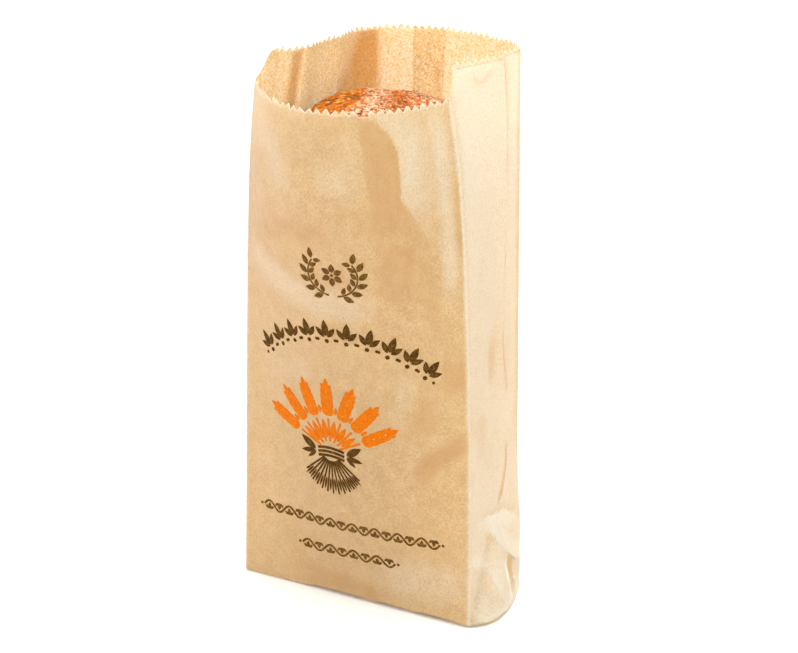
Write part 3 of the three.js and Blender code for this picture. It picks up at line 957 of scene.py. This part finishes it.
# The vines: a waving stem with a three-leaved sprig in each bend and a dot at each end.
VINE_WAVE, VINE_SWING = 14.0, 2.9
vines = []
for low, high, level in ((14.0, 130.0, 50.0), (41.0, 102.0, 31.5)):
    turns = round((high - low) / VINE_WAVE)
    wave = (high - low) / turns
    xs = np.linspace(low, high, turns * 14 + 1)
    ys = [level + VINE_SWING * math.sin(2 * math.pi * (x - low) / wave) for x in xs]
    vines.append(stroke(list(zip(xs, ys)), 1.3))
    for bend in range(turns * 2):
        side = -1 if bend % 2 else 1
        foot = (low + wave * (bend + 0.5) / 2, level - side * (VINE_SWING + 0.4))
        for way, long, wide, gap in ((90, 4.6, 2.3, 0.3), (42, 3.1, 1.8, 0.9), (138, 3.1, 1.8, 0.9)):
            vines.append(leaf(foot, side * math.radians(way), long, wide, gap))
    vines += [dot((low - 1.9, level), 0.9), dot((high + 1.9, level), 0.9)]
printed("printed_vines", vines, pale_brown_ink)

# ----------------------------------------
# The loaf.
# A long crusty loaf, baked with slanting cuts and dusted with flour. Its glossy crust is
# orange where it is bare, dark at the torn lip of a cut, and pale under the flour.

LOAF_BOTTOM, LOAF_TOP = 1.1, 296.0
LOAF_ROWS, LOAF_AROUND = 190, 220
SLASH_DEPTH, PIT_DEPTH, LUMP_MM = 1.1, 1.3, 9


def loaf_place(angle, share):
    """Place of the plain loaf, in mm, before its crust."""
    crown = 1 - np.clip((share - 0.92) / 0.08, 0, 1) ** 4
    heel = 1 - (1 - np.clip(share / 0.1, 0, 1)) ** 2.2
    rounding = np.sqrt(np.clip(crown * heel, 0, 1))
    wide = (44 - share) * rounding + 4 * np.sin(np.pi * share) * rounding
    deep = (26 + 5 * share) * rounding
    blunt = lambda v: np.sign(v) * np.abs(v) ** 0.8
    lump = 1.2 * np.sin(angle * 3 + 1) * share ** 8 * np.minimum(1, wide / 30)
    x = -2 + 11 * share + wide * blunt(np.cos(angle)) - OUTLINE_MIDDLE[0]
    y = -share + deep * blunt(np.sin(angle)) - OUTLINE_MIDDLE[1]
    return np.stack([x, y, LOAF_BOTTOM + (LOAF_TOP - LOAF_BOTTOM) * share + lump], -1)


def close_to(x, middle):
    """1 at the middle, fading out to both sides over LUMP_MM."""
    return np.exp(-((x - middle) / LUMP_MM) ** 2)


loaf = Mesh()
loaf_loops = []
angles = np.linspace(0, 2 * np.pi, LOAF_AROUND, endpoint=False)
shares = (1 - np.cos(np.pi * np.linspace(0, 1, LOAF_ROWS + 2)[1:-1])) / 2
for share in shares:
    place = loaf_place(angles, np.full(LOAF_AROUND, share))
    slash = 0.6 * np.sin(angles * 2 + share * 34)
    pits = bumps(place, 9) + 0.6 * bumps(place, 3.4) + 0.4 * bumps(place, 1.5)
    middle = place.mean(0)
    away = place - middle
    away /= np.maximum(np.linalg.norm(away[:, :2], axis=1), 1e-6)[:, None]
    small = np.minimum(1, np.linalg.norm((place - middle)[:, :2], axis=1) / 30)
    place[:, :2] += away[:, :2] * ((SLASH_DEPTH * slash + PIT_DEPTH * pits) * small)[:, None]
    crumbs = bumps(place, 2.1)
    at_top = share ** 12
    shoulder = 1.3 * close_to(place[:, 0], 13) - 1.6 * close_to(place[:, 0], -7)
    shoulder *= at_top
    place[:, 0] -= 4.5 * close_to(place[:, 0], -34) * at_top
    place[:, 2] += pits * 1.1 * (1 - small ** 2) + shoulder + 1.3 * crumbs * at_top
    loaf_loops.append(loaf.loop(place))
for low, high in zip(loaf_loops, loaf_loops[1:]):
    loaf.band(low, high)
ends = [loaf.loop([loaf_place(np.zeros(1), np.full(1, t))[0]])[0] for t in (0.0, 1.0)]
for i in range(LOAF_AROUND):
    j = (i + 1) % LOAF_AROUND
    loaf.faces.append((loaf_loops[0][j], loaf_loops[0][i], ends[0]))
    loaf.faces.append((loaf_loops[-1][i], loaf_loops[-1][j], ends[1]))

CRUST_DARK, CRUST_BROWN, CRUST_ORANGE, CRUST_GOLD = "6B3208", "AE5410", "D46A0A", "E88A1E"
CRUST_BUTTER = "F9C95C"  # thin stretched crust, palest along its streaks
CRUST_FLOUR = "E8D2AE"
LIP_PLACE = 5.0  # how far back the burnt lip of the cut lies, in mm
SLASH_SLANT = 0.45  # the cuts run across the loaf at a slant
# How much flour lies on the crust, by place across the loaf in mm.
FLOUR_BY_X = (
    (-40, 0.3), (-14, 0.34), (-6, 0.54), (8, 0.53), (16, 0.42), (24, 0.47), (33, 0.51), (60, 0.52))

crust, tree = new_material("baked_crust")
in_mm = place_in_mm(tree)
blister = add(tree, "TexNoise", {"Vector": in_mm, "Scale": 1 / 3.0, "Detail": 4.0, "Roughness": 0.65})
fine = add(tree, "TexNoise", {"Vector": in_mm, "Scale": 1 / 0.9, "Detail": 3.0, "Roughness": 0.7})
baked = add(tree, "ValToRGB", {"Fac": blister}, stops=[
    (0.3, colour(CRUST_DARK)), (0.42, colour(CRUST_BROWN)), (0.54, colour(CRUST_ORANGE)),
    (0.7, colour(CRUST_GOLD))])
streak_way = add(tree, "Mapping", {
    "Vector": in_mm, "Rotation": (0, 0, math.radians(-40)), "Scale": (0.34, 0.9, 0.6)})
streak = add(tree, "TexNoise", {"Vector": streak_way, "Scale": 1 / 1.6, "Roughness": 0.55})
across = add(tree, "SeparateXYZ", (in_mm,))
deep = across.node.outputs[1]
sway = add(tree, "TexNoise", {"Vector": in_mm, "Scale": 1 / 15.0, "Detail": 1.0})
sway = add(tree, "Math", (sway, 30.0, -15.0), operation="MULTIPLY_ADD")
wander = add(tree, "Math", (blister, 18.0, -9.0), operation="MULTIPLY_ADD")
wander = add(tree, "Math", (wander, sway), operation="ADD")
slanted = add(tree, "Math", (deep, SLASH_SLANT, across), operation="MULTIPLY_ADD")
across_uneven = add(tree, "Math", (slanted, wander), operation="ADD")
shine_side = add(tree, "MapRange", {"Value": across_uneven, "From Min": -6.0, "From Max": -14.0})
streak_mask = add(tree, "MapRange", {
    "Value": streak, "From Min": 0.52, "From Max": 0.64, "To Max": 0.85})
streak_mask = add(tree, "Math", (streak_mask, shine_side), operation="MULTIPLY")
streaked = add(tree, "Mix", {0: streak_mask, 6: baked, 7: colour(CRUST_BUTTER)}, **COLOURS)
lip_gap = add(tree, "Math", (deep, wander), operation="ADD")
lip_gap = add(tree, "Math", (lip_gap, LIP_PLACE), operation="SUBTRACT")
lip_gap = add(tree, "Math", (lip_gap,), operation="ABSOLUTE")
near_lip = add(tree, "MapRange", {"Value": lip_gap, "From Min": 4.5, "From Max": 1.0})
burnt = add(tree, "Math", (near_lip, shine_side), operation="MULTIPLY")
burnt = add(tree, "Math", (burnt, 0.8), operation="MULTIPLY")
scorched = add(tree, "Mix", {0: burnt, 6: streaked, 7: colour(CRUST_DARK)}, **COLOURS)
first_x, last_x = FLOUR_BY_X[0][0], FLOUR_BY_X[-1][0]
share_across = add(tree, "MapRange", {"Value": across_uneven, "From Min": first_x, "From Max": last_x})
flour_amount = add(tree, "ValToRGB", {"Fac": share_across}, stops=[
    ((x - first_x) / (last_x - first_x), (v, v, v, 1)) for x, v in FLOUR_BY_X])
flake_way = add(tree, "Mapping", {
    "Vector": in_mm, "Rotation": (0, 0, math.radians(35)), "Scale": (0.5, 1.0, 1.0)})
flake = add(tree, "TexNoise", {
    "Vector": flake_way, "Scale": 1 / 1.3, "Detail": 3.0, "Roughness": 0.6, "Distortion": 0.6})
dusting = add(tree, "Math", (flake, flour_amount), operation="ADD")
flour_mask = add(tree, "MapRange", {
    "Value": dusting, "From Min": 0.98, "From Max": 1.08, "To Max": 0.92})
crust_colour = add(tree, "Mix", {0: flour_mask, 6: scorched, 7: colour(CRUST_FLOUR)}, **COLOURS)
dull = add(tree, "MapRange", {"Value": flour_mask, "To Min": 0.38, "To Max": 0.85})
crust_bump = add(tree, "Bump", {"Height": fine, "Strength": 0.7, "Distance": 0.0007})
crust_face = add(tree, "BsdfPrincipled", {
    "Base Color": crust_colour, "Roughness": dull, "IOR": 1.45, "Specular IOR Level": 0.25,
    "Normal": crust_bump})
add(tree, "OutputMaterial", {"Surface": crust_face})
crusty_loaf = loaf.build("crusty_loaf", crust)
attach(crusty_loaf, "root")
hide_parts("loaf")

# ----------------------------------------
# The studio.
# A plain white table runs on behind as the backdrop. One soft lamp behind shines through
# the back, one on the right lights the gusset, weak ones stand on the left and in front,
# and one above keeps the table white.

table, tree = new_material("white_table")
table_face = add(tree, "BsdfPrincipled", {"Base Color": colour("F8F8F8"), "Roughness": 0.9})
add(tree, "OutputMaterial", {"Surface": table_face})
data = bpy.data.meshes.new("table_top")
REACH = 6.0  # in metres
corners = [(x * REACH, y * REACH, 0) for x, y in ((-1, -1), (1, -1), (1, 1), (-1, 1))]
data.from_pydata(corners, [], [(0, 1, 2, 3)])
data.materials.append(table)
table_top = placed("table_top", data)
table_top.location.z = -0.0001

world = bpy.data.worlds.new("studio")
bpy.context.scene.world = world
world.use_nodes = True
world.node_tree.nodes.clear()
sky = add(world.node_tree, "Background", {"Color": colour("FFFFFF"), "Strength": 0.5})
add(world.node_tree, "OutputWorld", {"Surface": sky})


def aimed(name, data, place, target):
    """Puts a lamp or a camera in the scene, aimed at a target."""
    made = placed(name, data)
    made.location = place
    made.rotation_euler = (Vector(target) - Vector(place)).to_track_quat("-Z", "Y").to_euler()
    return made


LAMP_AIM = (0.0, 0.0, 0.16)
for name, place, size, watts, tint in (
        ("back_lamp", (-0.2, 2.1, 0.4), 0.7, 70, "F6F8FF"),
        ("left_lamp", (-1.6, 1.2, 0.5), 0.6, 3, "FFFFFF"),
        ("right_lamp", (1.9, -0.1, 0.8), 0.6, 20.5, "F3FAF4"),
        ("top_lamp", (0.0, -0.2, 2.2), 1.4, 28, "FFFFFF"),
        ("front_lamp", (-1.1, -1.5, 1.05), 1.0, 20, "FFFBF4")):
    lamp = bpy.data.lights.new(name, "AREA")
    lamp.shape = "DISK"
    lamp.size = size
    lamp.energy = watts
    lamp.color = colour(tint)[:3]
    aimed(name, lamp, place, LAMP_AIM)

camera = bpy.data.cameras.new("camera")
camera.lens = 87.7
camera.sensor_width = 36.0
camera.clip_start, camera.clip_end = 0.05, 30
scene = bpy.context.scene
scene.camera = aimed(
    "camera", camera, (0.47827, -0.88849, 0.57176), (0.00863, 0.01686, 0.15969))
scene.view_settings.view_transform = "Standard"
scene.view_settings.look = "None"
